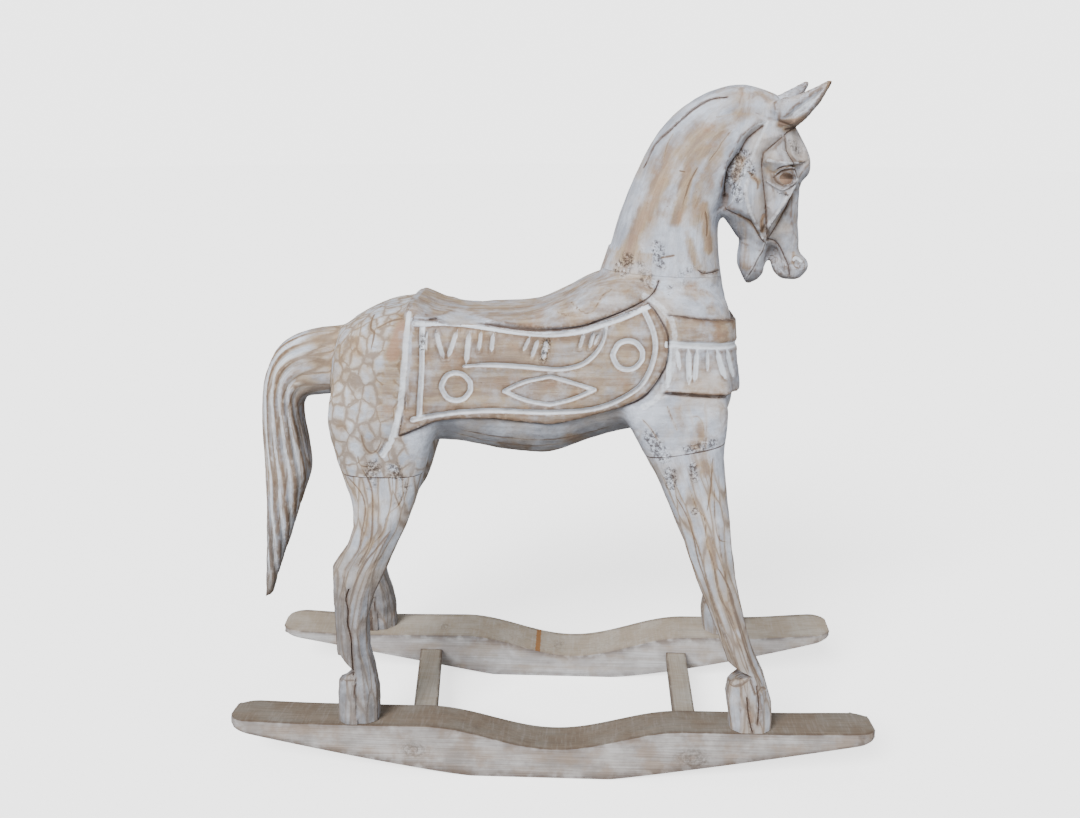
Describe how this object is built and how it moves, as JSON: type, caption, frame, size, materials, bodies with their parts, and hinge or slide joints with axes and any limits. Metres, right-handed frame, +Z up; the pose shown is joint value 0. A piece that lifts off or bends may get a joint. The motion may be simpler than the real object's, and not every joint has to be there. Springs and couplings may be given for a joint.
{
  "type": "rocking horse",
  "caption": "Carved wooden rocking horse with a saddle seat and carved blanket, standing on splayed rocker boards joined by slats.",
  "frame": {"origin": "on the floor, mid-way along the rocker boards and mid-way between them", "axes": "+X forward, the way the horse faces; +Y to the horse's left; +Z up"},
  "size_m": [0.75, 0.273, 0.775],
  "materials": {
    "body": "whitewashed, sanded back to show the wood, matt",
    "head_and_neck": "whitewashed, sanded back to show the wood, matt",
    "tail": "whitewashed flutes over tan wood, matt",
    "fore_leg_right": "whitewashed and rubbed back, matt",
    "fore_leg_left": "whitewashed and rubbed back, matt",
    "hind_leg_right": "whitewashed and rubbed back, matt",
    "hind_leg_left": "whitewashed and rubbed back, matt",
    "rocker_right": "whitewashed and rubbed back, matt",
    "rocker_left": "whitewashed and rubbed back, matt",
    "crossbar_front": "whitewashed and rubbed back, matt",
    "crossbar_rear": "whitewashed and rubbed back, matt"
  },
  "bodies": {
    "root": {"body": "body", "head_and_neck": "head_and_neck", "tail": "tail", "fore_leg_right": "fore_leg_right", "fore_leg_left": "fore_leg_left", "hind_leg_right": "hind_leg_right", "hind_leg_left": "hind_leg_left", "rocker_right": "rocker_right", "rocker_left": "rocker_left", "crossbar_front": "crossbar_front", "crossbar_rear": "crossbar_rear"}
  },
  "joints": []
}
